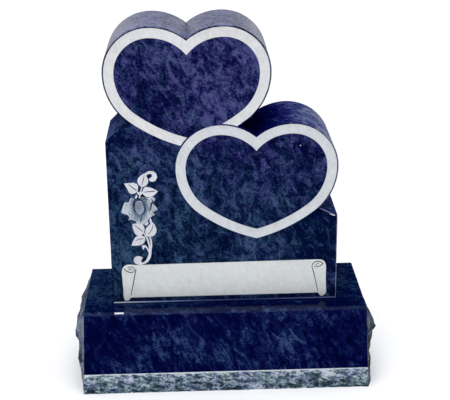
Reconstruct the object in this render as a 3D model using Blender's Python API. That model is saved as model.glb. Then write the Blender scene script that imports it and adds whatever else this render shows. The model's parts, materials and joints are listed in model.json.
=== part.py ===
# Heart headstone: a polished granite tablet whose top is cut as two overlapping hearts,
# set back on a granite base with a polished top and front and rock-pitched ends.
# Metres, +Z up. The origin is the middle of the base's underside and the front faces -Y.
import math
import random

import bmesh
import bpy
from mathutils import Vector
from mathutils.geometry import intersect_line_line_2d

# Base
BASE_WIDTH = 0.762
BASE_DEPTH = 0.310
BASE_HEIGHT = 0.242
BASE_FLARE = 0.012
BASE_ARRIS = 0.007
ROUGH_STRIP_HEIGHT = 0.058
ROUGH_STRIP_PROUD = 0.004
ROUGH_STRIP_CHAMFER = 0.004

# Rock-pitched ends: how far the stone swells out at each share of the height,
# and how much of that swell each share of the depth has, from the front to the back.
# Each facet's corner is off that by up to the jitter, and wanders by a share of its cell.
ROCK_COLUMNS = 9
ROCK_JITTER = 0.003
ROCK_WANDER = 0.22
ROCK_SEED = 7
LEFT_SWELL = ((0.0, 0.007), (0.06, 0.011), (0.22, 0.012), (0.36, 0.021), (0.46, 0.017), (0.59, 0.019),
              (0.66, 0.028), (0.77, 0.027), (0.90, 0.015), (1.0, 0.0))
LEFT_DEPTH_SHARE = ((0.0, 0.0), (0.12, 1.0), (0.5, 0.9), (0.85, 1.0), (1.0, 0.0))
RIGHT_SWELL = ((0.0, 0.010), (0.08, 0.017), (0.28, 0.017), (0.36, 0.012), (0.50, 0.019), (0.62, 0.026),
               (0.71, 0.032), (0.83, 0.017), (0.94, 0.003), (1.0, 0.0))
RIGHT_DEPTH_SHARE = ((0.0, 0.0), (0.12, 1.0), (0.3, 0.85), (0.5, 0.5), (0.85, 0.4), (1.0, 0.0))

# Tablet
TABLET_WIDTH = 0.610
TABLET_HEIGHT = 0.762
TABLET_THICKNESS = 0.216
TABLET_SETBACK = 0.060
TABLET_ARRIS = 0.002
LEFT_SHOULDER_HEIGHT = 0.459
LEFT_SHOULDER_SLOPE = math.radians(45)
RIGHT_SHOULDER_HEIGHT = 0.243
RIGHT_SHOULDER_SLOPE = math.radians(25)
SEAT_GAP = 0.0003

# Heart outline, the same for both hearts, as arcs that run into one another:
# notch to lobe top, lobe top to the widest point, on round the side, and down the flank to the tip
HEART_DROP = 0.258
LOBE_OFFSET = 0.0946
NOTCH_RADIUS = 0.151
LOBE_RADIUS = 0.122
SIDE_RADIUS = 0.163
FLANK_RADIUS = 0.428
FLANK_TURN = math.radians(53)
ARC_STEP = math.radians(4)

TABLET_COLOUR = (0.012, 0.012, 0.055, 1.0)
BASE_COLOUR = (0.014, 0.015, 0.060, 1.0)


def clear_scene():
    for old in list(bpy.data.objects):
        bpy.data.objects.remove(old, do_unlink=True)


def make_material(name, colour, roughness):
    material = bpy.data.materials.new(name)
    material.use_nodes = True
    shader = material.node_tree.nodes["Principled BSDF"]
    shader.inputs["Base Color"].default_value = colour
    shader.inputs["Roughness"].default_value = roughness
    shader.inputs["Metallic"].default_value = 0.0
    return material


def make_object(name, bm, material):
    bmesh.ops.recalc_face_normals(bm, faces=bm.faces[:])
    mesh = bpy.data.meshes.new(name)
    bm.to_mesh(mesh)
    bm.free()
    obj = bpy.data.objects.new(name, mesh)
    obj.data.materials.append(material)
    bpy.context.scene.collection.objects.link(obj)
    return obj


def read_curve(points, place):
    """Value of a run of straight stretches at a place along it."""
    for (x0, y0), (x1, y1) in zip(points, points[1:]):
        if place <= x1:
            return y0 + (y1 - y0) * (place - x0) / (x1 - x0)
    return points[-1][1]


def arc(centre, radius, start, end):
    """Points of an arc, with angles measured from straight up and growing clockwise."""
    steps = max(1, math.ceil(abs(end - start) / ARC_STEP))
    angles = [start + (end - start) * i / steps for i in range(steps + 1)]
    return [centre + radius * Vector((math.sin(a), math.cos(a))) for a in angles]


def half_heart():
    """Right half of the outline, from the notch to the tip, with the lobe's top at height 0."""
    upper = Vector((LOBE_OFFSET, -NOTCH_RADIUS))
    lobe = Vector((LOBE_OFFSET, -LOBE_RADIUS))
    side = lobe + Vector((LOBE_RADIUS - SIDE_RADIUS, 0.0))
    turn = math.pi / 2 + FLANK_TURN
    flank = side + (SIDE_RADIUS - FLANK_RADIUS) * Vector((math.sin(turn), math.cos(turn)))
    notch_angle = -math.asin(LOBE_OFFSET / NOTCH_RADIUS)
    tip_angle = math.pi + math.asin(flank.x / FLANK_RADIUS)
    points = arc(upper, NOTCH_RADIUS, notch_angle, 0.0)
    points += arc(lobe, LOBE_RADIUS, 0.0, math.pi / 2)[1:]
    points += arc(side, SIDE_RADIUS, math.pi / 2, turn)[1:]
    points += arc(flank, FLANK_RADIUS, turn, tip_angle)[1:]
    return points


def heart(centre_x, top):
    """Closed outline, clockwise from the tip up the left side, over both lobes and back."""
    right = half_heart()
    left = [Vector((-p.x, p.y)) for p in reversed(right)]
    shift = Vector((centre_x, top))
    return [p + shift for p in left + right[1:]]


def splice(path, other):
    """Follow one run of points to where it first meets another, then follow the other."""
    for i, (a, b) in enumerate(zip(path, path[1:])):
        for j, (c, d) in enumerate(zip(other, other[1:])):
            meeting = intersect_line_line_2d(a, b, c, d)
            if meeting is not None:
                return path[:i + 1] + [meeting] + other[j + 1:]
    raise ValueError("two stretches of the tablet's outline don't meet")


def tablet_outline():
    """Front view of the tablet, clockwise from its lower left corner, foot at height 0."""
    half_width = TABLET_WIDTH / 2
    heart_centre = half_width - LOBE_OFFSET - LOBE_RADIUS
    upper_heart = heart(-heart_centre, TABLET_HEIGHT)
    lower_heart = heart(heart_centre, TABLET_HEIGHT - HEART_DROP)
    left_corner = Vector((-half_width, LEFT_SHOULDER_HEIGHT))
    left_slope = Vector((math.cos(LEFT_SHOULDER_SLOPE), math.sin(LEFT_SHOULDER_SLOPE)))
    left_side = [Vector((-half_width, 0.0)), left_corner, left_corner + half_width * left_slope]
    right_corner = Vector((half_width, RIGHT_SHOULDER_HEIGHT))
    right_slope = Vector((-math.cos(RIGHT_SHOULDER_SLOPE), math.sin(RIGHT_SHOULDER_SLOPE)))
    right_side = [right_corner + half_width * right_slope, right_corner, Vector((half_width, 0.0))]
    path = splice(left_side, upper_heart)
    path = splice(path, lower_heart)
    return splice(path, right_side)


def build_tablet():
    bm = bmesh.new()
    front = -BASE_DEPTH / 2 + TABLET_SETBACK
    foot = BASE_HEIGHT + SEAT_GAP
    corners = [bm.verts.new((p.x, front, p.y + foot)) for p in tablet_outline()]
    face = bm.faces.new(corners)
    extruded = bmesh.ops.extrude_face_region(bm, geom=[face])
    back = [item for item in extruded["geom"] if isinstance(item, bmesh.types.BMVert)]
    bmesh.ops.translate(bm, verts=back, vec=(0.0, TABLET_THICKNESS, 0.0))
    bmesh.ops.recalc_face_normals(bm, faces=bm.faces[:])
    front_and_back = [face for face in bm.faces if abs(face.normal.y) > 0.5]
    arrises = [edge for face in front_and_back for edge in face.edges]
    bmesh.ops.bevel(bm, geom=arrises, offset=TABLET_ARRIS, offset_type="OFFSET", segments=1,
                    profile=0.5, affect="EDGES", material=-1)
    return make_object("tablet", bm, make_material("polished granite", TABLET_COLOUR, 0.1))


def end_corner(bm, side, out, y, z):
    """Corner of an end, out from its leaning plane by the given swell."""
    lean = BASE_FLARE * (1.0 - z / BASE_HEIGHT)
    return bm.verts.new((side * (BASE_WIDTH / 2 + lean + out), y, z))


def row_heights(swell):
    """Heights of an end's rows: the foot, the rough strip's top and the swell's corners above it."""
    above = [share * BASE_HEIGHT for share, _ in swell if share * BASE_HEIGHT > ROUGH_STRIP_HEIGHT]
    return [0.0, ROUGH_STRIP_HEIGHT] + above


def rock_corners(bm, side, swell, depth_share, rng):
    """Corners of one rock-pitched end, a list of rows from the foot up, each from front to back."""
    heights = row_heights(swell)
    column_width = BASE_DEPTH / ROCK_COLUMNS
    rows = []
    for row, height in enumerate(heights):
        line = []
        for column in range(ROCK_COLUMNS + 1):
            share = column / ROCK_COLUMNS
            y = -BASE_DEPTH / 2 + share * BASE_DEPTH
            z = height
            out = read_curve(swell, height / BASE_HEIGHT) * read_curve(depth_share, share)
            if 0 < column < ROCK_COLUMNS and row < len(heights) - 1:
                out += rng.uniform(-ROCK_JITTER, ROCK_JITTER)
                y += rng.uniform(-ROCK_WANDER, ROCK_WANDER) * column_width
                if row > 0:
                    spacing = min(heights[row] - heights[row - 1], heights[row + 1] - heights[row])
                    z += rng.uniform(-ROCK_WANDER, ROCK_WANDER) * spacing
            if column == 0 and row == 0:
                y -= ROUGH_STRIP_PROUD
            line.append(end_corner(bm, side, max(out, 0.0), y, z))
        rows.append(line)
    return rows


def strip_corner(bm, side):
    """Upper corner of the rough strip at one end of the front, below its small chamfer."""
    y = -BASE_DEPTH / 2 - ROUGH_STRIP_PROUD
    return end_corner(bm, side, 0.0, y, ROUGH_STRIP_HEIGHT - ROUGH_STRIP_CHAMFER)


def rock_facets(bm, rows, corner, rng):
    """Triangles between the corners of an end, each cell cut along one of its two diagonals."""
    for low, high in zip(rows, rows[1:]):
        for column in range(ROCK_COLUMNS):
            a, b = low[column], low[column + 1]
            c, d = high[column + 1], high[column]
            if low is rows[0] and column == 0:
                for first, second in ((a, b), (b, c), (c, d)):
                    bm.faces.new((corner, first, second))
            elif rng.random() < 0.5:
                bm.faces.new((a, b, c))
                bm.faces.new((a, c, d))
            else:
                bm.faces.new((a, b, d))
                bm.faces.new((b, c, d))


def build_base():
    bm = bmesh.new()
    rng = random.Random(ROCK_SEED)
    left = rock_corners(bm, -1, LEFT_SWELL, LEFT_DEPTH_SHARE, rng)
    right = rock_corners(bm, 1, RIGHT_SWELL, RIGHT_DEPTH_SHARE, rng)
    left_corner = strip_corner(bm, -1)
    right_corner = strip_corner(bm, 1)
    rock_facets(bm, left, left_corner, rng)
    rock_facets(bm, right, right_corner, rng)
    left_front = [row[0] for row in left]
    right_front = [row[0] for row in right]
    bm.faces.new((left_front[0], right_front[0], right_corner, left_corner))
    bm.faces.new((left_corner, right_corner, right_front[1], left_front[1]))
    bm.faces.new(left_front[1:] + right_front[:0:-1])
    bm.faces.new([row[-1] for row in left] + [row[-1] for row in reversed(right)])
    bm.faces.new(left[0] + right[0][::-1])
    bm.faces.new(left[-1] + right[-1][::-1])
    arrises = [bm.edges.get((left[-1][column], right[-1][column])) for column in (0, -1)]
    bmesh.ops.recalc_face_normals(bm, faces=bm.faces[:])
    bmesh.ops.bevel(bm, geom=arrises, offset=BASE_ARRIS, offset_type="OFFSET", segments=1,
                    profile=0.5, affect="EDGES", material=-1)
    return make_object("base", bm, make_material("granite", BASE_COLOUR, 0.12))


def main():
    clear_scene()
    build_base()
    build_tablet()


main()
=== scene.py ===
"""Looks of the heart headstone: polished and frosted granite, a rose, a scroll and rock-pitched ends."""

import json
import math

import bmesh
import bpy
from mathutils import Matrix, Vector, noise

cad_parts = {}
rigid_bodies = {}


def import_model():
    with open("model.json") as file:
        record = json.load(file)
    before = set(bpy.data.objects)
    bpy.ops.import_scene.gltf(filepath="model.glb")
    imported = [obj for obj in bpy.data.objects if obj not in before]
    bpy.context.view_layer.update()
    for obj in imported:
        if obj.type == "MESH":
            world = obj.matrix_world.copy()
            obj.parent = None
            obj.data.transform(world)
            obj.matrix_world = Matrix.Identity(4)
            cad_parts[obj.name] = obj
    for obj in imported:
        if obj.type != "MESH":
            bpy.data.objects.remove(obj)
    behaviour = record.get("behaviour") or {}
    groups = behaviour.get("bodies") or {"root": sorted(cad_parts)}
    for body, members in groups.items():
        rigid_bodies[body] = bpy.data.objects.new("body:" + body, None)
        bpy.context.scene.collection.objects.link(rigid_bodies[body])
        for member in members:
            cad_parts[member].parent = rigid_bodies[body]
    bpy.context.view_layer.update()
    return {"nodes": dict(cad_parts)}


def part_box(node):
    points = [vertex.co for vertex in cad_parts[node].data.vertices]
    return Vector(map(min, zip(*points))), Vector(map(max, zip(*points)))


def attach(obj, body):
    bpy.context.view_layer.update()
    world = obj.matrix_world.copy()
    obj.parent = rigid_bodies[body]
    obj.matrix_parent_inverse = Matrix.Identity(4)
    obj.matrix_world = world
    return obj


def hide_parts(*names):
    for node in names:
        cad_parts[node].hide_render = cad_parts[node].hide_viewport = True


bl_info = {
    "name": "Heart headstone",
    "version": (1, 0, 0),
    "blender": (4, 5, 0),
    "location": "3D View > Sidebar > Headstone",
    "description": "Builds the finished surfaces of a headstone with two hearts",
    "category": "Object",
}

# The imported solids, loaded first so that every size below can start from them
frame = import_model()
TABLET_LOW, TABLET_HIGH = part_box("tablet")
BASE_LOW, BASE_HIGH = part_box("base")
MM = 0.001

FACE = TABLET_LOW.y
FOOT = TABLET_LOW.z

# The two hearts, as in the solids
HEART_DROP = 0.258
LOBE_OFFSET = 0.0946
NOTCH_RADIUS = 0.151
LOBE_RADIUS = 0.122
SIDE_RADIUS = 0.163
FLANK_RADIUS = 0.428
FLANK_TURN = math.radians(53)
ARC_STEP = math.radians(2)

LOBE_CENTRE = (TABLET_HIGH.x - TABLET_LOW.x) / 2 - LOBE_OFFSET - LOBE_RADIUS

# Height of the pale line along the tablet's foot, its arris included; the paleness is a painted highlight
FOOT_BAND = 5.2 * MM

# Depths of the frosted work's beds and inlays
CUT_FROM = FACE - 1.0 * MM
CUT_TO = FACE + 1.6 * MM
INLAY_BACK = FACE + 1.5 * MM

# How much wider and higher an inlay's blank is than its outlines
BLANK_SPARE = 20 * MM

# The rose's bud, in mm right of the tablet's middle and above its foot, and its half sizes in metres
ROSE_BUD = (-222.5, 278.5)
BUD_HALF_WIDTH = 0.011
BUD_HALF_HEIGHT = 0.0185

# The base, as in the solids
BASE_FACE = -0.155
BASE_BACK = 0.155
BASE_HALF_WIDTH = 0.381
STRIP_HEIGHT = 0.058

# Quartz and feldspar, which granite is mostly made of, bend light about as much
GRANITE_IOR = 1.54

# How strongly blotches and clouds show in the mottle, which keeps to a middle of 0.5
BLOTCH_STRENGTH = 1.1
CLOUD_STRENGTH = 0.42

# Where the five tones of the palettes lie on the mottle, in polished and in broken stone
POLISHED_PLACES = (0.38, 0.45, 0.515, 0.58, 0.69)
BROKEN_PLACES = (0.36, 0.44, 0.51, 0.58, 0.68)


def colour(code):
    """The linear colour, with alpha, of an sRGB hex code such as 1A2B3C."""
    parts = [int(code[i : i + 2], 16) / 255 for i in (0, 2, 4)]
    linear = [p / 12.92 if p <= 0.04045 else ((p + 0.055) / 1.055) ** 2.4 for p in parts]
    return (*linear, 1.0)


def palette(codes, middle=None):
    """Colours from hex codes, darkest first; a dash stands for the middle tone that the panel holds."""
    return [(*middle, 1.0) if code == "-" else colour(code) for code in codes.split()]


class HeadstoneSizes(bpy.types.PropertyGroup):
    """Sizes of the cut and frosted work."""

    border_margin: bpy.props.FloatProperty(
        name="Border margin",
        description="Polished edge left outside each heart's border",
        default=0.004,
        unit="LENGTH",
    )
    border_width: bpy.props.FloatProperty(
        name="Border width",
        description="Width of each heart's frosted border",
        default=0.026,
        unit="LENGTH",
    )
    etch_depth: bpy.props.FloatProperty(
        name="Etch depth",
        description="How far the frosted work lies below the polish",
        default=0.0004,
        unit="LENGTH",
    )
    rock_relief: bpy.props.FloatProperty(
        name="Rock relief",
        description="Depth of the broken texture on the base's ends",
        default=0.004,
        unit="LENGTH",
    )
    strip_relief: bpy.props.FloatProperty(
        name="Strip relief",
        description="Depth of the rough texture on the base's foot strip",
        default=0.003,
        unit="LENGTH",
    )


class HeadstoneColours(bpy.types.PropertyGroup):
    """Main colours of the stone."""

    slab_blue: bpy.props.FloatVectorProperty(
        name="Tablet's blue",
        description="Middle tone of the tablet's blue grains",
        default=colour("0E2444")[:3],
        subtype="COLOR",
    )
    slab_purple: bpy.props.FloatVectorProperty(
        name="Tablet's purple",
        description="Middle tone of the tablet's purple grains",
        default=colour("1C2052")[:3],
        subtype="COLOR",
    )
    base_blue: bpy.props.FloatVectorProperty(
        name="Base's blue",
        description="Middle tone of the polished base",
        default=colour("071542")[:3],
        subtype="COLOR",
    )
    rock: bpy.props.FloatVectorProperty(
        name="Broken stone",
        description="Middle tone of the base's pitched ends",
        default=colour("34404E")[:3],
        subtype="COLOR",
    )
    frost: bpy.props.FloatVectorProperty(
        name="Frosted stone",
        description="Lightest tone of the upper heart's sand-blasted border",
        default=colour("E9EAEB")[:3],
        subtype="COLOR",
    )


class HeadstoneStage(bpy.types.PropertyGroup):
    """Camera and lights."""

    focal_length: bpy.props.FloatProperty(
        name="Focal length",
        description="Camera lens in millimetres",
        default=89.99,
        unit="CAMERA",
    )
    key_power: bpy.props.FloatProperty(
        name="Front light",
        description="Power of the large lamp in front, in watts",
        default=38.0,
    )
    sky_power: bpy.props.FloatProperty(
        name="Sky light",
        description="Strength of the soft light from above, in watts per square metre",
        default=3.45,
    )


def node(tree, kind, inputs=None, stops=None, **settings):
    """Adds a shader node with its settings, its ramp's stops, and its inputs as values or links.

    An input that is given as a node is linked to that node's first output."""
    made = tree.nodes.new("ShaderNode" + kind)
    for name, value in settings.items():
        setattr(made, name, value)
    if stops:
        ramp = made.color_ramp
        places, shades = stops
        while len(ramp.elements) < len(places):
            ramp.elements.new(1.0)
        for element, place, shade in zip(ramp.elements, places, shades):
            element.position = place
            element.color = shade
    for name, value in (inputs or {}).items():
        if isinstance(value, bpy.types.Node):
            value = value.outputs[0]
        if isinstance(value, bpy.types.NodeSocket):
            tree.links.new(value, made.inputs[name])
        else:
            made.inputs[name].default_value = value
    return made


def new_material(name):
    """A material with an empty tree."""
    made = bpy.data.materials.new(name)
    made.use_nodes = True
    made.node_tree.nodes.clear()
    return made


def new_stone(name):
    """A new material with its tree, and the place on the piece that its patterns follow."""
    made = new_material(name)
    return made, made.node_tree, node(made.node_tree, "TexCoord").outputs["Object"]


def mottle(
    tree, place, grain, crystal, cloud, seed=(0.0, 0.0, 0.0), lean=0.5, draw=0.6, speck=0.09
):
    """One grey value for the stone: soft blotches, hard crystals and slow clouds, sizes in metres."""
    where = node(tree, "Mapping", {"Vector": place, "Location": seed})
    leaned = node(tree, "Mapping", {"Vector": where, "Rotation": (0.0, lean, 0.0)})
    drawn = node(tree, "Mapping", {"Vector": leaned, "Scale": (1.0, 1.0, draw)})
    blotches = node(
        tree, "TexNoise",
        {"Vector": drawn, "Scale": 1 / grain, "Detail": 6.0, "Roughness": 0.64, "Distortion": 0.9},
    )
    crystals = node(tree, "TexVoronoi", {"Vector": where, "Scale": 1 / crystal})
    tone = node(tree, "SeparateColor", {"Color": crystals.outputs["Color"]})
    clouds = node(
        tree, "TexNoise", {"Vector": where, "Scale": 1 / cloud, "Detail": 2.0, "Roughness": 0.5},
    )
    mixed = node(tree, "Mix", {0: speck, 2: blotches, 3: tone.outputs["Red"]})
    shift = 0.5 * (1 - BLOTCH_STRENGTH - CLOUD_STRENGTH)
    strong = node(tree, "Math", {0: mixed, 1: BLOTCH_STRENGTH, 2: shift}, operation="MULTIPLY_ADD")
    level = node(tree, "Math", {0: clouds, 1: CLOUD_STRENGTH, 2: strong}, operation="MULTIPLY_ADD")
    return where, level


def slab_painted_reflection(tree, place):
    """Painted reflection on the slab's stone, standing in for the light its polish mirrors: darker at the
    left and the lower right, purple at the top right.
    """
    parts = node(tree, "SeparateXYZ", {0: place})
    right = node(
        tree, "MapRange",
        {"Value": parts.outputs["X"], "From Min": 0.06, "From Max": 0.26, "To Min": 0.0, "To Max": -0.085},
    )
    low = node(tree, "MapRange", {"Value": parts.outputs["Z"], "From Min": 0.60, "From Max": 0.46})
    left = node(
        tree, "MapRange",
        {"Value": parts.outputs["X"], "From Min": -0.3, "From Max": 0.05, "To Min": -0.028, "To Max": 0.027},
    )
    tone = node(tree, "Math", {0: right, 1: low, 2: left}, operation="MULTIPLY_ADD")
    up = node(
        tree, "MapRange",
        {"Value": parts.outputs["Z"], "From Min": 0.48, "From Max": 0.80, "To Min": -0.20, "To Max": 0.20},
    )
    across = node(
        tree, "MapRange",
        {"Value": parts.outputs["X"], "From Min": -0.20, "From Max": 0.10, "To Min": -0.09, "To Max": 0.07},
    )
    purple = node(tree, "Math", {0: up, 1: across}, operation="ADD")
    return tone, purple


def base_drift(tree, place):
    """How the base's stone changes: darkest to the left."""
    parts = node(tree, "SeparateXYZ", {0: place})
    tone = node(
        tree, "MapRange",
        {"Value": parts.outputs["X"], "From Min": -0.25, "From Max": 0, "To Min": -0.038, "To Max": -0.012},
    )
    return tone, tone


def lower_edge_painted_shade(tree, place):
    """Painted shade and painted reflection on the lower heart's edge: near black in the valley under the
    upper heart, paler down its right side, where open sky would be mirrored.
    """
    parts = node(tree, "SeparateXYZ", {0: place})
    start = LOBE_CENTRE + LOBE_OFFSET
    tone = node(
        tree, "MapRange",
        {
            "Value": parts.outputs["X"],
            "From Min": start - 0.09,
            "From Max": start + 0.09,
            "To Min": -0.10,
            "To Max": 0.13,
        },
    )
    return tone, tone


def top_painted_reflection(tree, place):
    """Painted reflection on the base's top, which has little gloss of its own: palest to the left, darker
    along its front, before the dark tablet.
    """
    parts = node(tree, "SeparateXYZ", {0: place})
    across = node(
        tree, "MapRange",
        {"Value": parts.outputs["X"], "From Min": -0.32, "From Max": 0.32, "To Min": 0.06, "To Max": -0.03},
    )
    front = node(
        tree, "MapRange",
        {"Value": parts.outputs["Y"], "From Min": -0.11, "From Max": -0.03, "To Min": -0.10, "To Max": 0.0},
    )
    tone = node(tree, "Math", {0: across, 1: front}, operation="ADD")
    return tone, tone


def side_painted_light(tree, place):
    """Painted light on the slab's edges: the upper heart's, which face the light from above, are painted
    paler, the rest are dark.
    """
    parts = node(tree, "SeparateXYZ", {0: place})
    tone = node(
        tree, "MapRange",
        {"Value": parts.outputs["Z"], "From Min": 0.76, "From Max": 0.82, "To Min": -0.03, "To Max": 0.09},
    )
    return tone, tone


def wisps(tree, where, width, strength):
    """Thin light threads through the stone, gathered in patches."""
    threads = node(
        tree, "TexNoise",
        {"Vector": where, "Scale": 1 / width, "Detail": 3.0, "Roughness": 0.6, "Distortion": 1.4},
    )
    middle = node(tree, "Math", {0: threads, 1: 0.5}, operation="SUBTRACT")
    apart = node(tree, "Math", {0: middle}, operation="ABSOLUTE")
    line = node(
        tree, "MapRange",
        {"Value": apart, "From Min": 0.0, "From Max": 0.07, "To Min": strength, "To Max": 0.0},
    )
    patches = node(tree, "TexNoise", {"Vector": where, "Scale": 1 / 0.09, "Detail": 1.0})
    here = node(tree, "MapRange", {"Value": patches, "From Min": 0.38, "From Max": 0.62})
    return node(tree, "Math", {0: line, 1: here}, operation="MULTIPLY")


def granite_colour(
    tree, place, blues, purples, drift=None, thread=0.04, flaked=0.9975, calm=0.0, **form
):
    """The polished granite's mottle and colour: blue-black blotches, purple patches, rare bright flakes.

    The blotches fade away as calm goes from 0 to 1."""
    # Real grains are 3 to 8 mm; the blotches that read at this distance are clumps of about 20 mm
    where, level = mottle(tree, place, 0.020, 0.0042, 0.16, speck=0.13, **form)
    drawn = node(
        tree, "Mapping", {"Vector": where, "Rotation": (0.0, 0.6, 0.0), "Scale": (1.0, 1.0, 0.5)},
    )
    light = wisps(tree, drawn, 0.030, thread)
    level = node(tree, "Math", {0: level, 1: light}, operation="ADD")
    if calm:
        level = node(
            tree, "Math",
            {0: level, 1: 1 - calm, 2: POLISHED_PLACES[2] * calm},
            operation="MULTIPLY_ADD",
        )
    # Patches of one hue are about 45 mm wide, and the rare bright flakes 3 mm
    hue = node(
        tree, "TexNoise", {"Vector": where, "Scale": 1 / 0.045, "Detail": 3.0, "Roughness": 0.6},
    )
    if drift:
        tone, purple = drift(tree, place)
        level = node(tree, "Math", {0: level, 1: tone}, operation="ADD")
        hue = node(tree, "Math", {0: hue, 1: purple}, operation="ADD")
    blue = node(tree, "ValToRGB", {0: level}, stops=(POLISHED_PLACES, blues))
    purple = node(tree, "ValToRGB", {0: level}, stops=(POLISHED_PLACES, purples))
    share = node(tree, "MapRange", {"Value": hue, "From Min": 0.24, "From Max": 0.76})
    ground = node(tree, "Mix", {0: share, 6: blue, 7: purple}, data_type="RGBA")
    flakes = node(tree, "TexVoronoi", {"Vector": where, "Scale": 1 / 0.0032})
    chance = node(tree, "SeparateColor", {"Color": flakes.outputs["Color"]})
    rare = node(
        tree, "MapRange",
        {"Value": chance.outputs["Green"], "From Min": flaked, "From Max": 1.0, "To Max": 0.35},
    )
    bright = node(tree, "Mix", {0: rare, 6: ground.outputs[2], 7: colour("9AA6C8")}, data_type="RGBA")
    return level, bright.outputs[2]


def painted_edge_highlight(tree, place, shade, middle, half):
    """The colour with a painted highlight along a length of an edge, as a box round its middle."""
    away = node(tree, "VectorMath", {0: place, 1: middle}, operation="SUBTRACT")
    reach = node(tree, "VectorMath", {0: away, 1: half}, operation="DIVIDE")
    sides = node(tree, "VectorMath", {0: reach}, operation="ABSOLUTE")
    parts = node(tree, "SeparateXYZ", {0: sides})
    wide = node(tree, "Math", {0: parts.outputs["X"], 1: parts.outputs["Y"]}, operation="MAXIMUM")
    worst = node(tree, "Math", {0: wide, 1: parts.outputs["Z"]}, operation="MAXIMUM")
    inside = node(tree, "MapRange", {"Value": worst, "From Min": 1.0, "From Max": 0.85})
    pale = node(tree, "Mix", {0: inside, 6: shade, 7: colour("D8DCE2")}, data_type="RGBA")
    return pale.outputs[2]


def polished_granite(name, blues, purples, rough=0.06, shine=0.5, highlight_box=None, **form):
    """Polished blue granite: dark, mottled navy and purple, with a mirror-like gloss over the grain."""
    made, tree, place = new_stone(name)
    level, shade = granite_colour(tree, place, blues, purples, **form)
    # A painted highlight along a length of an edge, where its box is given
    if highlight_box:
        shade = painted_edge_highlight(tree, place, shade, *highlight_box)
    gloss = node(
        tree, "MapRange",
        {"Value": level, "From Min": 0.3, "From Max": 0.7, "To Min": rough, "To Max": rough + 0.04},
    )
    surface = node(
        tree, "BsdfPrincipled",
        {"Base Color": shade, "Roughness": gloss, "IOR": GRANITE_IOR, "Specular IOR Level": shine},
    )
    node(tree, "OutputMaterial", {"Surface": surface})
    return made


def polished_sides(name, tones):
    """The slab's edges, polished by hand along the thickness: faint streaks run from front to back."""
    made, tree, place = new_stone(name)
    shade = granite_colour(tree, place, tones, tones, side_painted_light)[1]
    # Streaks are under 1 mm wide; drawn 4 mm wide and 60 mm long, and only on the upper heart
    drawn = node(tree, "Mapping", {"Vector": place, "Scale": (250.0, 16.0, 250.0)})
    streaks = node(
        tree, "TexNoise",
        {"Vector": drawn, "Scale": 1.0, "Detail": 4.0, "Roughness": 0.7, "Distortion": 0.6},
    )
    parts = node(tree, "SeparateXYZ", {0: place})
    upper = node(tree, "MapRange", {"Value": parts.outputs["Z"], "From Min": 0.76, "From Max": 0.80})
    uneven = node(tree, "Math", {0: streaks, 1: upper}, operation="MULTIPLY")
    gloss = node(
        tree, "MapRange",
        {"Value": uneven, "From Min": 0.0, "From Max": 0.7, "To Min": 0.05, "To Max": 0.24},
    )
    bump = node(tree, "Bump", {"Strength": 1.0, "Distance": 0.002, "Height": uneven})
    surface = node(
        tree, "BsdfPrincipled",
        {"Base Color": shade, "Roughness": gloss, "IOR": GRANITE_IOR, "Normal": bump},
    )
    node(tree, "OutputMaterial", {"Surface": surface})
    return made


def frosted_granite(name, tones):
    """Sand-blasted granite: pale, even and matt, with a fine grit and a faint ghost of the grain."""
    made, tree, place = new_stone(name)
    level = mottle(tree, place, 0.012, 0.004, 0.10)[1]
    ramp = node(tree, "ValToRGB", {0: level}, stops=((0.30, 0.70), tones))
    # Blasting grit is about 0.3 mm; drawn at 1.2 mm so that it shows
    grit = node(tree, "TexNoise", {"Vector": place, "Scale": 1 / 0.0012, "Detail": 2.0})
    bump = node(tree, "Bump", {"Strength": 0.35, "Distance": 0.0004, "Height": grit})
    surface = node(
        tree, "BsdfPrincipled",
        {"Base Color": ramp, "Roughness": 0.85, "IOR": GRANITE_IOR, "Normal": bump},
    )
    node(tree, "OutputMaterial", {"Surface": surface})
    return made


def foot_granite(name):
    """The tablet's honed foot line, with a painted highlight: pale to the left and dark to the right."""
    made, tree, place = new_stone(name)
    parts = node(tree, "SeparateXYZ", {0: place})
    along = node(
        tree, "MapRange",
        {"Value": parts.outputs["X"], "From Min": TABLET_LOW.x, "From Max": TABLET_HIGH.x},
    )
    places = (0.03, 0.10, 0.22, 0.41, 0.60, 0.90)
    tones = palette("E4F0FF D0E0FF 94A4DC 5460A4 424E92 6470A8")
    tone = node(tree, "ValToRGB", {0: along}, stops=(places, tones))
    # A noise breaks up the painted highlight
    uneven = node(tree, "TexNoise", {"Vector": place, "Scale": 1 / 0.012, "Detail": 3.0})
    shade = node(tree, "Mix", {0: 0.6, 6: tone, 7: uneven}, data_type="RGBA", blend_type="SOFT_LIGHT")
    surface = node(
        tree, "BsdfPrincipled", {"Base Color": shade.outputs[2], "Roughness": 0.5, "IOR": GRANITE_IOR},
    )
    node(tree, "OutputMaterial", {"Surface": surface})
    return made


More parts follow.
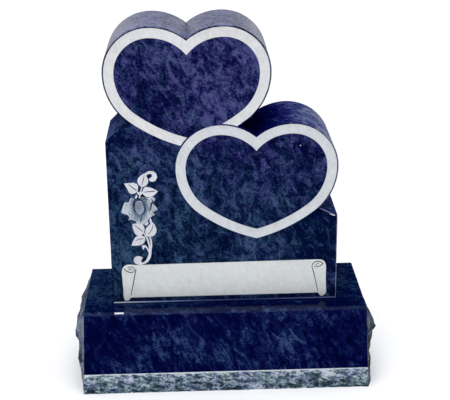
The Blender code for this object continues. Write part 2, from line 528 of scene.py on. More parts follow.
def petal_granite(name):
    """Lightly blasted granite: a blue-grey between polish and frost, deepest round the rose's bud."""
    made, tree, place = new_stone(name)
    level = mottle(tree, place, 0.007, 0.003, 0.04)[1]
    # The length below is 1 at the bud's edge, and the ramp ends where it is 5
    bud = node(
        tree, "VectorMath",
        {0: place, 1: (-ROSE_BUD[0] * MM, 0.0, -(FOOT + ROSE_BUD[1] * MM))},
        operation="ADD",
    )
    even = node(
        tree, "VectorMath",
        {0: bud, 1: (1 / BUD_HALF_WIDTH, 0.0, 1 / BUD_HALF_HEIGHT)},
        operation="MULTIPLY",
    )
    reach = node(tree, "VectorMath", {0: even}, operation="LENGTH")
    share = node(tree, "Math", {0: reach.outputs["Value"], 1: 1 / 5}, operation="MULTIPLY")
    places = (0.08, 0.20, 0.24, 0.32, 0.50)
    tones = palette("94A4B8 B4C0D2 5C728A 788EA4 D4DEEA")
    depth = node(tree, "ValToRGB", {0: share}, stops=(places, tones))
    greys = palette("8A8A8A F4F4F4")
    grain = node(tree, "ValToRGB", {0: level}, stops=((0.36, 0.64), greys))
    tone = node(tree, "Mix", {0: 0.75, 6: depth, 7: grain}, data_type="RGBA", blend_type="MULTIPLY")
    surface = node(
        tree, "BsdfPrincipled", {"Base Color": tone.outputs[2], "Roughness": 0.7, "IOR": GRANITE_IOR},
    )
    node(tree, "OutputMaterial", {"Surface": surface})
    return made


def broken_granite(
    name, tones, tints, grain, depth, slope=(0.0, 0.0, 0.0), crest=None, cloud=0.09, **form
):
    """Split or pitched granite: matt grey-blue, pale where grains are crushed, with a crystalline grain.

    The tone grows by slope, per metre along each axis, from the middle of the base, and turns pale
    at the crest, an axis with the places where the paling starts and ends, and its strength. On the
    foot strip's top edge this paling is a painted highlight."""
    made, tree, place = new_stone(name)
    where, level = mottle(tree, place, grain, 0.0045, cloud, speck=0.14, **form)
    moved = node(tree, "VectorMath", {0: place, 1: (0.0, 0.0, -0.03)}, operation="ADD")
    rise = node(tree, "VectorMath", {0: moved, 1: slope}, operation="DOT_PRODUCT")
    level = node(tree, "Math", {0: level, 1: rise.outputs["Value"]}, operation="ADD")
    if crest:
        axis, start, end, strength = crest
        parts = node(tree, "SeparateXYZ", {0: place})
        crest_paling = node(
            tree, "MapRange",
            {"Value": parts.outputs[axis], "From Min": start, "From Max": end, "To Max": strength},
        )
        level = node(tree, "Math", {0: level, 1: crest_paling}, operation="ADD")
    ramp = node(tree, "ValToRGB", {0: level}, stops=(BROKEN_PLACES, tones))
    patches = node(tree, "TexNoise", {"Vector": where, "Scale": 1 / 0.03, "Detail": 3.0})
    hue = node(tree, "ValToRGB", {0: patches}, stops=((0.38, 0.62), palette(tints)))
    tinted = node(tree, "Mix", {0: 0.5, 6: ramp, 7: hue}, data_type="RGBA", blend_type="SOFT_LIGHT")
    bump = node(tree, "Bump", {"Strength": 0.9, "Distance": depth, "Height": level})
    surface = node(
        tree, "BsdfPrincipled",
        {"Base Color": tinted.outputs[2], "Roughness": 0.8, "IOR": GRANITE_IOR, "Normal": bump},
    )
    node(tree, "OutputMaterial", {"Surface": surface})
    return made


def arc(centre, radius, start, end):
    """Points on an arc; angles start straight up and grow clockwise."""
    steps = max(1, math.ceil(abs(end - start) / ARC_STEP))
    angles = [start + (end - start) * i / steps for i in range(steps + 1)]
    return [centre + radius * Vector((math.sin(a), math.cos(a))) for a in angles]


def heart(centre_x, top, inset=0.0):
    """A closed heart in the face's x and z, drawn in from the slab's heart by inset."""
    upper = Vector((LOBE_OFFSET, -NOTCH_RADIUS))
    lobe = Vector((LOBE_OFFSET, -LOBE_RADIUS))
    side = lobe + Vector((LOBE_RADIUS - SIDE_RADIUS, 0.0))
    turn = math.pi / 2 + FLANK_TURN
    flank = side + (SIDE_RADIUS - FLANK_RADIUS) * Vector((math.sin(turn), math.cos(turn)))
    notch = -math.asin(LOBE_OFFSET / (NOTCH_RADIUS - inset))
    tip = math.pi + math.asin(flank.x / (FLANK_RADIUS - inset))
    right = arc(upper, NOTCH_RADIUS - inset, notch, 0.0)
    right += arc(lobe, LOBE_RADIUS - inset, 0.0, math.pi / 2)[1:]
    right += arc(side, SIDE_RADIUS - inset, math.pi / 2, turn)[1:]
    right += arc(flank, FLANK_RADIUS - inset, turn, tip)[1:]
    left = [Vector((-p.x, p.y)) for p in reversed(right[1:-1])]
    return [Vector((centre_x + p.x, top + p.y)) for p in right + left]


def smooth_line(points, steps=6):
    """A smooth line through points, by Catmull and Rom's rule."""
    ends = [2 * points[0] - points[1], *points, 2 * points[-1] - points[-2]]
    line = []
    for i in range(1, len(ends) - 2):
        a, b, c, d = ends[i - 1 : i + 3]
        for step in range(steps):
            t = step / steps
            line.append(
                0.5
                * (
                    2 * b
                    + (c - a) * t
                    + (2 * a - 5 * b + 4 * c - d) * t * t
                    + (3 * b - a - 3 * c + d) * t**3
                )
            )
    return [*line, points[-1]]


def ribbon(points, widths):
    """The closed outline of a stroke along points, with a width at each point."""
    line = smooth_line([Vector((x, z, w)) for (x, z), w in zip(points, widths)])
    left, right = [], []
    for i, here in enumerate(line):
        ahead = line[min(i + 1, len(line) - 1)] - line[max(i - 1, 0)]
        across = Vector((-ahead.y, ahead.x)).normalized() * here.z / 2
        left.append(here.xy + across)
        right.append(here.xy - across)
    return left + right[::-1]


def flat_shape(outlines, front, back):
    """A mesh of flat shapes from y = front to y = back. An outline inside another is a hole.

    An outline is drawn smooth through its points, with a corner at each point that has a third value,
    or straight from point to point if its points are vectors."""
    curve = bpy.data.curves.new("outline", "CURVE")
    curve.dimensions = "2D"
    curve.fill_mode = "BOTH"
    curve.extrude = (back - front) / 2
    curve.resolution_u = 6
    for outline in outlines:
        if isinstance(outline[0], Vector):
            spline = curve.splines.new("POLY")
            spline.points.add(len(outline) - 1)
            for point, place in zip(spline.points, outline):
                point.co = (place.x, place.y, 0.0, 1.0)
        else:
            spline = curve.splines.new("BEZIER")
            spline.bezier_points.add(len(outline) - 1)
            for point, (x, z, *corner) in zip(spline.bezier_points, outline):
                point.co = (x * MM, z * MM, 0.0)
                kind = "VECTOR" if corner else "AUTO"
                point.handle_left_type = kind
                point.handle_right_type = kind
        spline.use_cyclic_u = True
    holder = bpy.data.objects.new("outline", curve)
    bpy.context.scene.collection.objects.link(holder)
    drawn = holder.evaluated_get(bpy.context.evaluated_depsgraph_get())
    mesh = bpy.data.meshes.new_from_object(drawn)
    bpy.data.objects.remove(holder)
    bpy.data.curves.remove(curve)
    mesh.transform(Matrix.Rotation(math.pi / 2, 4, "X"))
    mesh.transform(Matrix.Translation((0.0, (front + back) / 2, 0.0)))
    return mesh


def tidy_mesh(bm):
    """Merges doubles and points every face outwards."""
    bmesh.ops.remove_doubles(bm, verts=bm.verts, dist=1e-6)
    bmesh.ops.recalc_face_normals(bm, faces=bm.faces)


def new_object(bm, name, materials=()):
    """Puts the bmesh, which is used up, into a new object at the origin."""
    mesh = bpy.data.meshes.new(name)
    bm.to_mesh(mesh)
    bm.free()
    for material in materials:
        mesh.materials.append(material)
    made = bpy.data.objects.new(name, mesh)
    bpy.context.scene.collection.objects.link(made)
    return made


def joined(name, meshes):
    """One object from meshes, which are used up."""
    bm = bmesh.new()
    for mesh in meshes:
        bm.from_mesh(mesh)
        bpy.data.meshes.remove(mesh)
    tidy_mesh(bm)
    return new_object(bm, name)


def cut(piece, tool, operation, keep_tool=False):
    """Changes piece's mesh by a boolean with tool."""
    modifier = piece.modifiers.new("cut", "BOOLEAN")
    modifier.operation = operation
    modifier.object = tool
    modifier.solver = "EXACT"
    modifier.use_self = True
    graph = bpy.context.evaluated_depsgraph_get()
    mesh = bpy.data.meshes.new_from_object(piece.evaluated_get(graph))
    piece.modifiers.clear()
    old = piece.data
    name = old.name
    piece.data = mesh
    bpy.data.meshes.remove(old)
    mesh.name = name
    if not keep_tool:
        waste = tool.data
        bpy.data.objects.remove(tool)
        bpy.data.meshes.remove(waste)


def inlay(name, outlines, material, also_cut=()):
    """A frosted piece just under the polish, and the tool that cuts its bed into the slab."""
    sizes = bpy.context.scene.headstone_sizes
    beds = [flat_shape(group, CUT_FROM, CUT_TO) for group in outlines]
    tool = joined("bed_" + name, beds)
    for group in also_cut:
        cut(tool, joined("gap", [flat_shape(group, CUT_FROM - MM, CUT_TO + MM)]), "DIFFERENCE")
    low = Vector([min(v.co[i] for v in tool.data.vertices) for i in range(3)])
    high = Vector([max(v.co[i] for v in tool.data.vertices) for i in range(3)])
    bm = bmesh.new()
    bmesh.ops.create_cube(bm, size=1.0)
    front = FACE + sizes.etch_depth
    span = Vector((high.x - low.x + BLANK_SPARE, INLAY_BACK - front, high.z - low.z + BLANK_SPARE))
    middle = Vector(((low.x + high.x) / 2, (front + INLAY_BACK) / 2, (low.z + high.z) / 2))
    bmesh.ops.scale(bm, vec=span, verts=bm.verts)
    bmesh.ops.translate(bm, vec=middle, verts=bm.verts)
    tidy_mesh(bm)
    piece = new_object(bm, name)
    cut(piece, tool, "INTERSECT", keep_tool=True)
    piece.data.materials.clear()
    piece.data.materials.append(material)
    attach(piece, "root")
    tool.hide_render = True
    return piece


def heart_at(index, inset):
    """The upper heart's outline for 0, the lower heart's for 1."""
    centre = LOBE_CENTRE if index else -LOBE_CENTRE
    top = TABLET_HIGH.z - FOOT - (HEART_DROP if index else 0.0)
    return [Vector((p.x, p.y + FOOT)) for p in heart(centre, top, inset)]


def lifted(outline):
    """An ornament's outline, drawn in mm above the tablet's foot, moved up to the foot."""
    if isinstance(outline[0], Vector):
        return [Vector((p.x * MM, p.y * MM + FOOT)) for p in outline]
    return [(x, z + FOOT / MM, *corner) for x, z, *corner in outline]


class HEADSTONE_OT_borders(bpy.types.Operator):
    """Make the frosted border of each heart; the lower heart's edge crosses over the upper border"""

    bl_idname = "headstone.borders"
    bl_label = "Heart borders"

    def execute(self, context):
        sizes = context.scene.headstone_sizes
        frost = context.scene.headstone_colours.frost
        upper = frosted_granite("frosted_upper_border_granite", palette("D6D7D8 -", frost))
        # The lower border is the same frost in a darker copy: painted shade, as the light falls off lower on
        # the stone
        lower = frosted_granite("frosted_lower_border_shaded_granite", palette("CDD1D4 DEE3E6"))
        outer = sizes.border_margin
        inner = outer + sizes.border_width
        rings = [[heart_at(i, outer), heart_at(i, inner)] for i in (0, 1)]
        inlay("upper_heart_border", [rings[0]], upper, also_cut=[[heart_at(1, 0.0)]])
        inlay("lower_heart_border", [rings[1]], lower)
        return {"FINISHED"}


# The rose spray, in mm right of the tablet's middle and above its foot. A third value marks a corner
LEAVES = (
    [(-206, 374, 0), (-217, 367), (-225, 356), (-223, 344),
     (-214, 335, 0), (-203, 340), (-197, 350), (-200, 364)],
    [(-261, 347, 0), (-247, 348), (-234, 348), (-225, 341),
     (-226, 324, 0), (-236, 318), (-246, 319), (-253, 332)],
    [(-172, 323, 0), (-183, 330), (-196, 335), (-207, 335),
     (-214, 322, 0), (-208, 311), (-195, 307), (-182, 313)],
    [(-244, 232, 0), (-231, 234), (-217, 230), (-212, 221),
     (-213, 206, 0), (-221, 199), (-233, 200), (-241, 214)],
    [(-189, 236, 0), (-183, 226), (-180, 211), (-186, 199),
     (-197, 194), (-208, 197, 0), (-210, 212), (-203, 225)],
    [(-249, 170, 0), (-243, 184), (-236, 195), (-225, 199),
     (-212, 195, 0), (-211, 185), (-218, 174), (-231, 170)],
)
VEIN_WIDTHS = [0.8, 1.9, 1.5]
VEINS = (
    [(-206.5, 368), (-210, 355), (-214, 342)],
    [(-250, 344), (-240, 336), (-229, 326.5)],
    [(-210, 321.5), (-197, 322.5), (-180, 324)],
    [(-238, 229), (-227, 219), (-216, 209)],
    [(-189, 229), (-192, 216), (-201, 203)],
    [(-238, 184), (-226, 188), (-215, 190)],
)
CURL = [
    (-206, 372, 0), (-200, 377.5), (-190, 380), (-180, 377), (-174, 368), (-174, 361), (-178, 353),
    (-185, 350), (-192, 352), (-195, 358), (-191, 361), (-187, 365), (-187, 369), (-191, 372),
    (-197, 371), (-202, 367, 0),
]
STEMS = (
    ([(-214, 336), (-217, 326), (-220, 316), (-222, 304)], [3.0, 3.5, 4.5, 2.0]),
    ([(-227, 322), (-221, 317), (-213, 320)], [5.0, 7.0, 5.0]),
    ([(-214, 208), (-210, 198), (-205, 188), (-201, 172), (-199, 156)], [2.0, 4.0, 5.0, 4.5, 5.0]),
    ([(-199, 196), (-196, 184), (-195, 170), (-197, 158)], [4.0, 4.5, 4.5, 4.0]),
    ([(-198, 164), (-199, 150), (-202, 136), (-209, 124), (-220, 117.5), (-234, 117)],
     [6.0, 7.0, 8.0, 7.5, 5.0, 3.5]),
)
ROOT_CURL = [
    (-244, 129), (-239, 137), (-229, 139), (-219, 135, 0), (-222, 130), (-224, 123), (-220, 116),
    (-234, 115), (-242, 120),
]
SIDE_SHOOT = [
    (-221, 169, 0), (-213, 171), (-205, 163), (-199, 150, 0), (-203, 150), (-208, 160), (-213, 164),
    (-216, 157, 0), (-219, 161),
]
ROSE_BITS = (
    [(-202.8, 237), (-200.4, 234), (-205, 228), (-209.5, 227.5), (-210.5, 231)],
    [(-194.8, 250, 0), (-191.9, 241), (-191.4, 234), (-195, 230, 0), (-197, 237), (-197, 244)],
    [(-229.6, 316, 0), (-227.5, 312), (-230.7, 304.5), (-233.5, 305), (-232, 311)],
)
ROSE = [
    (-244, 307), (-238, 304.5), (-233.5, 302.5), (-229, 300), (-224, 304.5), (-216.5, 308.5),
    (-209.5, 307.5), (-199, 305.5), (-192, 307.5), (-184.5, 307), (-181.5, 302), (-183, 294, 0),
    (-187, 291.5, 0), (-182, 283.5), (-176, 274.5), (-175.3, 270.5, 0), (-183, 267.5),
    (-187.5, 263.5, 0), (-182, 257, 0), (-188.5, 254), (-195.5, 249), (-200, 244), (-202.5, 238.5),
    (-208, 236), (-212, 231.5), (-217.5, 229.5), (-222, 233.5), (-230.7, 232.5, 0), (-233.5, 238),
    (-239, 242.5), (-246, 244.5), (-255, 242.5, 0), (-251, 248), (-253, 256, 0), (-261, 260.5),
    (-268, 262.5), (-271.5, 265, 0), (-269, 275), (-265.5, 285), (-262, 294, 0), (-256, 293.5),
    (-250, 293.5, 0), (-247.5, 296.5), (-246, 301),
]
ROSE_GAPS = (
    ([(-228, 306), (-233, 299), (-237, 291), (-237.5, 283), (-236.5, 275), (-234.5, 269), (-232, 263)],
     [4.0, 4.5, 3.8, 3.0, 2.8, 3.0, 1.4]),
    ([(-232, 299.5), (-223, 300.5), (-214.5, 298)], [3.0, 4.5, 3.0]),
    ([(-215, 297), (-211, 287.5), (-208.8, 279), (-208, 272), (-210, 266), (-214.5, 261), (-221, 259)],
     [2.6, 3.6, 3.8, 3.4, 3.4, 2.4, 1.2]),
    ([(-186, 294), (-190.5, 288), (-192.5, 280), (-193.5, 274), (-197, 267.5)],
     [3.6, 3.6, 3.4, 2.6, 1.6]),
    ([(-212, 301), (-206, 302.8), (-199, 299)], [1.2, 2.0, 1.4]),
    ([(-193, 301), (-188, 298), (-184.5, 294)], [1.0, 1.8, 2.0]),
    ([(-217, 256), (-219, 247), (-221.5, 237)], [1.0, 1.8, 2.2]),
    ([(-253, 267), (-249, 260), (-241, 257.5)], [0.8, 1.4, 0.8]),
)
GAP_SCALE = 1.2
ROSE_RIMS = (
    ([(-244.5, 304.5), (-248, 296), (-249.5, 287), (-253, 277), (-251.5, 270)],
     [3.0, 3.0, 2.6, 3.0, 1.4]),
    ([(-270, 268), (-266, 264.8), (-260, 262.5), (-254.5, 258.5)], [3.0, 3.0, 2.4, 1.2]),
    ([(-194, 304.5), (-187, 305), (-183.8, 300.5)], [2.0, 4.0, 2.4]),
    ([(-183.5, 283), (-179.5, 277), (-177, 272)], [1.4, 2.4, 1.6]),
)


class HEADSTONE_OT_rose_spray(bpy.types.Operator):
    """Make the etched rose with its leaves, stems and curls"""

    bl_idname = "headstone.rose_spray"
    bl_label = "Rose spray"

    def execute(self, context):
        frost = frosted_granite("frosted_leaf_granite", palette("D2D3DA E6E7EE"))
        rim = frosted_granite("frosted_petal_rim_granite", palette("B0B8CC CCD4E4"))
        petal = petal_granite("lightly_frosted_petal_granite")
        shapes = [[lifted(leaf), lifted(ribbon(vein, VEIN_WIDTHS))] for leaf, vein in zip(LEAVES, VEINS)]
        shapes += [[lifted(curl)] for curl in (CURL, ROOT_CURL, SIDE_SHOOT)]
        shapes += [[lifted(ribbon(path, widths))] for path, widths in STEMS]
        shapes += [[lifted(bit)] for bit in ROSE_BITS]
        inlay("rose_leaves", shapes, frost)
        gaps = [[lifted(ribbon(path, [w * GAP_SCALE for w in widths]))] for path, widths in ROSE_GAPS]
        rims = [[lifted(ribbon(path, widths))] for path, widths in ROSE_RIMS]
        inlay("rose_petals", [[lifted(ROSE)]], petal, also_cut=gaps + rims)
        inlay("rose_rims", rims, rim)
        return {"FINISHED"}


SCROLL = [
    (-277, 99), (-273, 108), (-265, 114), (-254, 115), (-240, 113.5, 0), (240, 117, 0), (253, 117),
    (263, 116), (271, 111), (275, 104), (276, 72), (277, 40), (277, 18), (273, 11), (267, 8.5),
    (261, 10), (256, 18, 0), (-257, 17, 0), (-260, 11), (-266, 8), (-272, 9), (-275, 15),
    (-276, 40), (-277, 70),
]
SCROLL_LINES = (
    ([(-239, 101), (-243, 84), (-249, 54), (-256, 24)], [2.0, 2.0, 1.6, 1.4]),
    ([(-271, 103), (-265, 96), (-255, 92), (-247, 93),
      (-243.5, 99), (-246, 105), (-254, 108), (-262, 106)],
     [1.6, 1.8, 1.8, 1.6, 1.6, 1.6, 1.6, 1.0]),
    ([(-262, 99), (-257, 102), (-252, 101), (-251, 97)], [1.0, 1.4, 1.4, 1.0]),
    ([(237.5, 98), (242, 82), (248, 56), (255, 23)], [1.4, 1.8, 1.6, 1.2]),
    ([(241, 99), (240, 104), (246, 109), (254, 111), (262, 109),
      (267, 104.5), (263, 99.5), (255, 95.5), (244, 96)],
     [1.2, 1.6, 1.6, 1.6, 1.8, 2.0, 1.8, 1.6, 1.0]),
    ([(249, 100), (251, 103), (258, 106)], [1.0, 1.4, 1.0]),
)
LINE_SCALE = 1.25


class HEADSTONE_OT_scroll(bpy.types.Operator):
    """Make the frosted scroll with its rolled ends"""

    bl_idname = "headstone.scroll"
    bl_label = "Scroll"

    def execute(self, context):
        frost = frosted_granite("frosted_scroll_granite", palette("D8DCDB E6EAE9"))
        lines = [lifted(ribbon(path, [w * LINE_SCALE for w in widths])) for path, widths in SCROLL_LINES]
        inlay("scroll_panel", [[lifted(SCROLL), *lines]], frost)
        return {"FINISHED"}


# A small chip in the lower heart's face, and a pale streak by the right shoulder that is a painted highlight
CHIP_SPOT = (203.6, 440.9)
SHOULDER_HIGHLIGHT_STREAK = ([(283, 249), (290, 245.5), (297.5, 243)], [1.0, 2.6, 2.2])


class HEADSTONE_OT_chip_and_highlight(bpy.types.Operator):
    """Make the pale chip in the tablet's face and the painted highlight streak by the right shoulder"""

    bl_idname = "headstone.chips"
    bl_label = "Chips"

    def execute(self, context):
        fresh = frosted_granite("chip_and_highlight_granite", palette("E4E6EE F4F6FC"))
        x, z = CHIP_SPOT
        spot = [(x, z + 2.0), (x + 1.8, z + 0.2), (x + 0.2, z - 1.9), (x - 1.7, z - 0.1)]
        inlay("face_chips", [[lifted(spot)], [lifted(ribbon(*SHOULDER_HIGHLIGHT_STREAK))]], fresh)
        return {"FINISHED"}


def copied_node(node_name):
    """A merged copy of a CAD node's mesh as a bmesh."""
    bm = bmesh.new()
    bm.from_mesh(frame["nodes"][node_name].data)
    bmesh.ops.remove_doubles(bm, verts=bm.verts, dist=1e-6)
    return bm


def finish_stone(bm, name, materials, replaced):
    """Puts the bmesh into a new object that stands for a CAD node."""
    made = new_object(bm, name, materials)
    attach(made, "root")
    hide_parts(replaced)
    return made


def shade_by_angle(piece, degrees, finishes):
    """Smooth shading on these finishes, with edges sharper than the angle kept hard."""
    piece.data.set_sharp_from_angle(angle=math.radians(degrees))
    for polygon in piece.data.polygons:
        polygon.use_smooth = polygon.material_index in finishes


FRONT, ROUND_EDGE, FOOT_LINE, FLAT_EDGE, LOWER_EDGE, MARGIN = range(6)

# Heights that part the margins outside the hearts' borders from the rest of the face
MARGIN_CUTS = (0.50, 0.72, 0.80)

# A strip's area over its perimeter is half its width, so this much of the margin's width finds margins
NARROW_SHARE = 0.6

# The slab's flat side faces are larger than this, in square metres, and each facet of a curve is smaller
FLAT_AREA = 0.003


def slab_surface(face):
    """Which finish one face of the slab has."""
    middle = face.calc_center_median()
    if middle.z < FOOT + FOOT_BAND and face.normal.y < -0.2:
        return FOOT_LINE
    if abs(face.normal.y) > 0.9:
        return FRONT
    if face.calc_area() > FLAT_AREA:
        return FLAT_EDGE
    low = middle.z < TABLET_HIGH.z - HEART_DROP and middle.x > LOBE_CENTRE - LOBE_OFFSET
    return LOWER_EDGE if low else ROUND_EDGE


class HEADSTONE_OT_tablet(bpy.types.Operator):
    """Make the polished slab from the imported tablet, and cut the beds of the frosted work into its face"""

    bl_idname = "headstone.tablet"
    bl_label = "Tablet"

    def execute(self, context):
        tones = context.scene.headstone_colours
        blues = palette("010E2E 051834 - 1E3856 385070", tones.slab_blue)
        purples = palette("020636 0A0E42 - 303168 4C4E82", tones.slab_purple)
        sides = palette("000024 000630 08113C 222A56 62668A")
        plain = palette("1A2450 283660 384878 4A5C8C 6478A0")
        lower = palette("02043A 040C46 1C225A 484F7A 9096A6")
        margin = palette("000014 00021C 000426 040C32 101A44")
        materials = [
            # The slab's drift is painted reflection: darker at the left and lower right, purple at the top
            # right
            polished_granite("polished_blue_granite", blues, purples, drift=slab_painted_reflection),
            polished_sides("hand_polished_edge_granite", sides),
            foot_granite("honed_foot_highlight_granite"),
            polished_granite("plain_edge_granite", plain, plain, drift=slab_painted_reflection, rough=0.4, shine=0.0),
            # The lower heart's edge has painted shade and reflection: matt, without gloss, near black in the
            # valley
            polished_granite(
                "lower_edge_painted_shade_granite", lower, lower,
                drift=lower_edge_painted_shade, rough=0.4, shine=0.0, thread=0.01, calm=0.55,
            ),
            # The narrow margins get a darker copy of the polish: painted shade along the hearts' edges
            polished_granite("shaded_margin_granite", margin, margin),
        ]
        bm = copied_node("tablet")
        bmesh.ops.dissolve_limit(bm, angle_limit=0.005, verts=bm.verts, edges=bm.edges)
        for height in (FOOT + FOOT_BAND, *MARGIN_CUTS):
            front = [f for f in bm.faces if f.normal.y < -0.9]
            bmesh.ops.bisect_plane(
                bm,
                geom=front + list({e for f in front for e in f.edges}),
                plane_co=(0.0, 0.0, height),
                plane_no=(0.0, 0.0, 1.0),
            )
        for face in bm.faces:
            face.material_index = slab_surface(face)
        slab = finish_stone(bm, "tablet_slab", materials, "tablet")
        for tool in [o for o in bpy.data.objects if o.name.startswith("bed_")]:
            cut(slab, tool, "DIFFERENCE")
        self.mark_margins(slab)
        shade_by_angle(slab, 25, (ROUND_EDGE, LOWER_EDGE))
        return {"FINISHED"}

    def mark_margins(self, slab):
        """Gives the narrow faces outside the hearts' borders a darker copy of the polish: painted shade
        along the hearts' edges.
        """
        widest = bpy.context.scene.headstone_sizes.border_margin
        bm = bmesh.new()
        bm.from_mesh(slab.data)
        for face in bm.faces:
            narrow = face.calc_area() / face.calc_perimeter() < widest * NARROW_SHARE
            high = face.calc_center_median().z > MARGIN_CUTS[0]
            if narrow and high and face.normal.y < -0.9 and face.material_index == FRONT:
                face.material_index = MARGIN
        bm.to_mesh(slab.data)
        bm.free()


POLISHED, EDGE, STRIP, ROCK, SAWN, TOP = range(6)
BASE_SEED = (3.1, 0.7, 1.9)

# The painted highlight on the base's front arris: its middle and its half sizes
ARRIS_HIGHLIGHT = ((-0.2862, BASE_FACE, 0.2396), (0.0132, 0.02, 0.0018))

# The broken texture: cuts along and up the strip and in each end's edges, broad and fine bumps per metre
STRIP_CUTS = (150, 11)
END_CUTS = 5
STRIP_BUMPS = (55, 170)
END_BUMPS = (40, 110)

# How far in from the polish the ends' texture reaches its full depth
END_FADE = 0.012


def base_surface(face):
    """Which finish one face of the base has."""
    middle = face.calc_center_median()
    normal = face.normal
    if abs(normal.x) > 0.2:
        return ROCK
    if middle.y < BASE_FACE - 0.0001 and middle.z < STRIP_HEIGHT + 0.0001:
        return STRIP
    if normal.y > 0.9 or normal.z < -0.9:
        return SAWN
    if abs(normal.y) > 0.3 and normal.z > 0.3:
        return EDGE
    return TOP if normal.z > 0.9 else POLISHED


def fade(value, start, end):
    """0 at start, 1 at end, smooth between."""
    share = min(1.0, max(0.0, (value - start) / (end - start)))
    return share * share * (3 - 2 * share)


class HEADSTONE_OT_base(bpy.types.Operator):
    """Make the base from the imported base, with pitched ends and a rough foot strip"""

    bl_idname = "headstone.base"
    bl_label = "Base"

    def execute(self, context):
        sizes = context.scene.headstone_sizes
        tones = context.scene.headstone_colours
        blues = palette("000430 02083A - 12284E 304870", tones.base_blue)
        purples = palette("000232 02063C 080E46 171F56 3A4474")
        edges = palette("020A2C 081436 122044 1E2E54 34466E")
        top = palette("00062C 040E34 0A1A40 12284A 243A54")
        strip = palette("182C42 3E5A6E 728A9C A4B3C0 D4DCE4")
        rock = palette("060C20 1C2636 - 56626E 8A94A2", tones.rock)
        sawn = palette("485464 5C6878 6C7888 7C8898 94A0AE")
        materials = [
            polished_granite(
                "polished_base_granite", blues, purples, seed=BASE_SEED,
                drift=base_drift, draw=0.4, thread=0.08, flaked=0.9995,
            ),
            # The arris carries a painted highlight near its left end
            polished_granite(
                "honed_arris_granite", edges, edges, seed=BASE_SEED,
                rough=0.3, shine=0.2, highlight_box=ARRIS_HIGHLIGHT,
            ),
            broken_granite(
                "rough_strip_granite", strip, "96A474 A484BC", 0.010, 0.003,
                # The strip's pale crest is a painted highlight along its top edge
                slope=(0.0, 0.0, 2.0), crest=("Z", 0.054, STRIP_HEIGHT, 0.3),
                cloud=0.025, lean=1.4, draw=0.35,
            ),
            broken_granite(
                "rock_pitched_granite", rock, "7E9A84 8C80B8", 0.016, 0.004,
                slope=(-0.10, 0.0, 0.0), crest=("Y", BASE_FACE + 0.05, BASE_FACE, 0.12),
            ),
            broken_granite("sawn_granite", sawn, "8090A0 8C88A4", 0.010, 0.0004),
            # The base's top has its reflections painted into its colour
            polished_granite(
                "polished_top_granite", top, top, seed=BASE_SEED,
                drift=top_painted_reflection, rough=0.12, shine=0.05, flaked=0.9995,
            ),
        ]
        bm = copied_node("base")
        for face in bm.faces:
            face.material_index = base_surface(face)
        flat = [e for e in bm.edges if all(f.material_index != ROCK for f in e.link_faces)]
        bmesh.ops.dissolve_limit(bm, angle_limit=0.005, verts=[], edges=flat)
        self.roughen_strip(bm, sizes.strip_relief)
        self.roughen_ends(bm, sizes.rock_relief)
        piece = finish_stone(bm, "base_block", materials, "base")
        shade_by_angle(piece, 40, (STRIP, ROCK))
        return {"FINISHED"}

    def roughen_strip(self, bm, relief):
        """Divides the foot strip finely and sinks its face in a broken texture."""
        along = set()
        for face in bm.faces:
            if face.material_index == STRIP:
                along |= {e for e in face.edges if abs((e.verts[0].co - e.verts[1].co).x) > 0.1}
        bmesh.ops.subdivide_edges(bm, edges=list(along), cuts=STRIP_CUTS[0])
        upright = set()
        for face in bm.faces:
            if face.material_index == STRIP:
                upright |= {e for e in face.edges if abs((e.verts[0].co - e.verts[1].co).z) > 0.02}
        bmesh.ops.subdivide_edges(bm, edges=list(upright), cuts=STRIP_CUTS[1], use_grid_fill=True)
        for vert in bm.verts:
            if vert.co.y < BASE_FACE - 0.003 and abs(vert.co.x) < BASE_HALF_WIDTH - 0.001:
                broad = noise.noise(vert.co * STRIP_BUMPS[0])
                fine = noise.noise(vert.co * STRIP_BUMPS[1] + Vector((9, 4, 2)))
                vert.co.y += relief * min(1.0, max(0.0, 0.5 + 0.6 * broad + 0.35 * fine))

    def roughen_ends(self, bm, relief):
        """Divides the pitched ends and sinks them in a broken texture, which fades out at the polish."""
        rocks = [f for f in bm.faces if f.material_index == ROCK]
        rocks = bmesh.ops.triangulate(bm, faces=rocks)["faces"]
        edges = {e for f in rocks for e in f.edges if all(g.material_index == ROCK for g in e.link_faces)}
        bmesh.ops.subdivide_edges(bm, edges=list(edges), cuts=END_CUTS, use_grid_fill=True)
        bm.normal_update()
        inner = [v for v in bm.verts if all(f.material_index == ROCK for f in v.link_faces)]
        shifts = []
        for vert in inner:
            near = min(vert.co.y - BASE_FACE, BASE_BACK - vert.co.y, BASE_HIGH.z - vert.co.z, vert.co.z)
            broad = noise.noise(vert.co * END_BUMPS[0])
            fine = noise.noise(vert.co * END_BUMPS[1] + Vector((5, 1, 7)))
            depth = relief * min(1.0, max(-0.6, 0.05 + 0.7 * broad + 0.4 * fine))
            shifts.append(depth * fade(near, 0.0, END_FADE))
        for vert, shift in zip(inner, shifts):
            moved = vert.co.x - math.copysign(shift, vert.co.x)
            vert.co.x = min(BASE_HIGH.x, max(BASE_LOW.x, moved))


CAMERA_PLACE = (-0.072528, -2.740167 + BASE_FACE, 1.560065)
CAMERA_YAW = 0.027448
CAMERA_PITCH = 0.350290
CAMERA_ROLL = 0.014117
SENSOR_WIDTH = 36.0

LAMP_PLACE = Vector((-1.3, -3.4, 2.6))
LAMP_AIM = Vector((0.0, 0.0, 0.6))
LAMP_SIZE = 2.4

# How wide the sky light's patch of sky is, and how far it leans to the front
SKY_WIDTH = math.radians(60)
SKY_TILT = math.radians(8)

FLOOR_HALF_WIDTH = 30.0


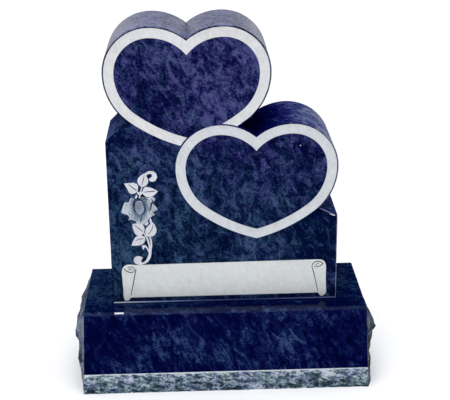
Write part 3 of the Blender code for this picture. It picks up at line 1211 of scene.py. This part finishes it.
def front_lamp(power):
    """A soft square lamp that lights the stone but isn't mirrored in the polish."""
    data = bpy.data.lights.new("front_lamp", "AREA")
    data.shape = "SQUARE"
    data.size = LAMP_SIZE
    data.energy = power
    made = bpy.data.objects.new("front_lamp", data)
    made.location = LAMP_PLACE
    made.rotation_euler = (LAMP_AIM - LAMP_PLACE).to_track_quat("-Z", "Y").to_euler()
    made.visible_glossy = False
    bpy.context.scene.collection.objects.link(made)


def sky_lamp(strength):
    """An even, soft light from almost overhead, which keeps the whole floor pale."""
    data = bpy.data.lights.new("sky_lamp", "SUN")
    data.energy = strength
    data.angle = SKY_WIDTH
    made = bpy.data.objects.new("sky_lamp", data)
    made.rotation_euler = (SKY_TILT, 0.0, 0.0)
    made.visible_glossy = False
    bpy.context.scene.collection.objects.link(made)


def studio_air():
    """The surroundings that the polish mirrors: pale and low behind the stone, dark above and in front."""
    world = bpy.data.worlds.new("studio_air")
    world.use_nodes = True
    tree = world.node_tree
    tree.nodes.clear()
    towards = node(tree, "TexCoord").outputs["Generated"]
    parts = node(tree, "SeparateXYZ", {0: towards})
    height = node(tree, "MapRange", {"Value": parts.outputs["Z"], "From Min": -1.0, "From Max": 1.0})
    # Heights are 0 straight down, 0.5 level and 1 straight up
    places = (0.365, 0.41, 0.45, 0.51, 0.575, 0.60, 0.625, 0.655)
    tones = palette("060A18 A8ACB2 CCCED2 DCDEE6 D2D2E4 A8ACCA 5C6490 080C20")
    behind = node(tree, "ValToRGB", {0: height}, stops=(places, tones))
    places = (0.50, 0.88, 0.96)
    tones = palette("0A1020 0A1020 7C86A4")
    ahead = node(tree, "ValToRGB", {0: height}, stops=(places, tones))
    facing = node(tree, "MapRange", {"Value": parts.outputs["Y"], "From Min": -0.1, "From Max": 0.3})
    shades = node(tree, "Mix", {0: facing, 6: ahead, 7: behind}, data_type="RGBA")
    air = node(tree, "Background", {"Color": shades.outputs[2], "Strength": 1.0})
    node(tree, "OutputWorld", {"Surface": air})
    bpy.context.scene.world = world


class HEADSTONE_OT_stage(bpy.types.Operator):
    """Set the camera, the pale floor and the soft lights"""

    bl_idname = "headstone.stage"
    bl_label = "Camera, floor and lights"

    def execute(self, context):
        stage = context.scene.headstone_stage
        data = bpy.data.cameras.new("camera")
        data.sensor_fit = "HORIZONTAL"
        data.sensor_width = SENSOR_WIDTH
        data.lens = stage.focal_length
        camera = bpy.data.objects.new("camera", data)
        turn = Matrix.Rotation(-CAMERA_YAW, 4, "Z")
        tip = Matrix.Rotation(math.pi / 2 - CAMERA_PITCH, 4, "X")
        lean = Matrix.Rotation(-CAMERA_ROLL, 4, "Z")
        camera.matrix_world = Matrix.Translation(CAMERA_PLACE) @ turn @ tip @ lean
        context.scene.collection.objects.link(camera)
        context.scene.camera = camera
        paper = new_material("pale_paper")
        surface = node(
            paper.node_tree,
            "BsdfPrincipled",
            {"Base Color": colour("F4F4F4"), "Roughness": 1.0, "Specular IOR Level": 0.0},
        )
        node(paper.node_tree, "OutputMaterial", {"Surface": surface})
        bm = bmesh.new()
        bmesh.ops.create_grid(bm, x_segments=1, y_segments=1, size=FLOOR_HALF_WIDTH)
        floor = new_object(bm, "floor", [paper])
        floor.visible_glossy = False
        front_lamp(stage.key_power)
        sky_lamp(stage.sky_power)
        studio_air()
        context.scene.view_settings.view_transform = "Standard"
        return {"FINISHED"}


OPERATORS = (
    HEADSTONE_OT_stage,
    HEADSTONE_OT_borders,
    HEADSTONE_OT_rose_spray,
    HEADSTONE_OT_scroll,
    HEADSTONE_OT_chip_and_highlight,
    HEADSTONE_OT_tablet,
    HEADSTONE_OT_base,
)


class HEADSTONE_PT_panel(bpy.types.Panel):
    """Lists the headstone's pieces"""

    bl_idname = "HEADSTONE_PT_panel"
    bl_label = "Heart headstone"
    bl_space_type = "VIEW_3D"
    bl_region_type = "UI"
    bl_category = "Headstone"

    def draw(self, context):
        for operator in OPERATORS:
            self.layout.operator(operator.bl_idname)
        for group in ("headstone_sizes", "headstone_colours", "headstone_stage"):
            held = getattr(context.scene, group)
            for name in held.__annotations__:
                self.layout.prop(held, name)


GROUPS = {
    "headstone_sizes": HeadstoneSizes,
    "headstone_colours": HeadstoneColours,
    "headstone_stage": HeadstoneStage,
}


def register():
    """Adds the properties, the operators and the panel."""
    for name, group in GROUPS.items():
        bpy.utils.register_class(group)
        setattr(bpy.types.Scene, name, bpy.props.PointerProperty(type=group))
    for operator in OPERATORS:
        bpy.utils.register_class(operator)
    bpy.utils.register_class(HEADSTONE_PT_panel)


def unregister():
    """Takes away what register added."""
    bpy.utils.unregister_class(HEADSTONE_PT_panel)
    for operator in reversed(OPERATORS):
        bpy.utils.unregister_class(operator)
    for name, group in GROUPS.items():
        delattr(bpy.types.Scene, name)
        bpy.utils.unregister_class(group)


def main():
    """Makes the stage and every piece."""
    register()
    bpy.ops.headstone.stage()
    bpy.ops.headstone.borders()
    bpy.ops.headstone.rose_spray()
    bpy.ops.headstone.scroll()
    bpy.ops.headstone.chips()
    bpy.ops.headstone.tablet()
    bpy.ops.headstone.base()


if __name__ == "__main__":
    main()
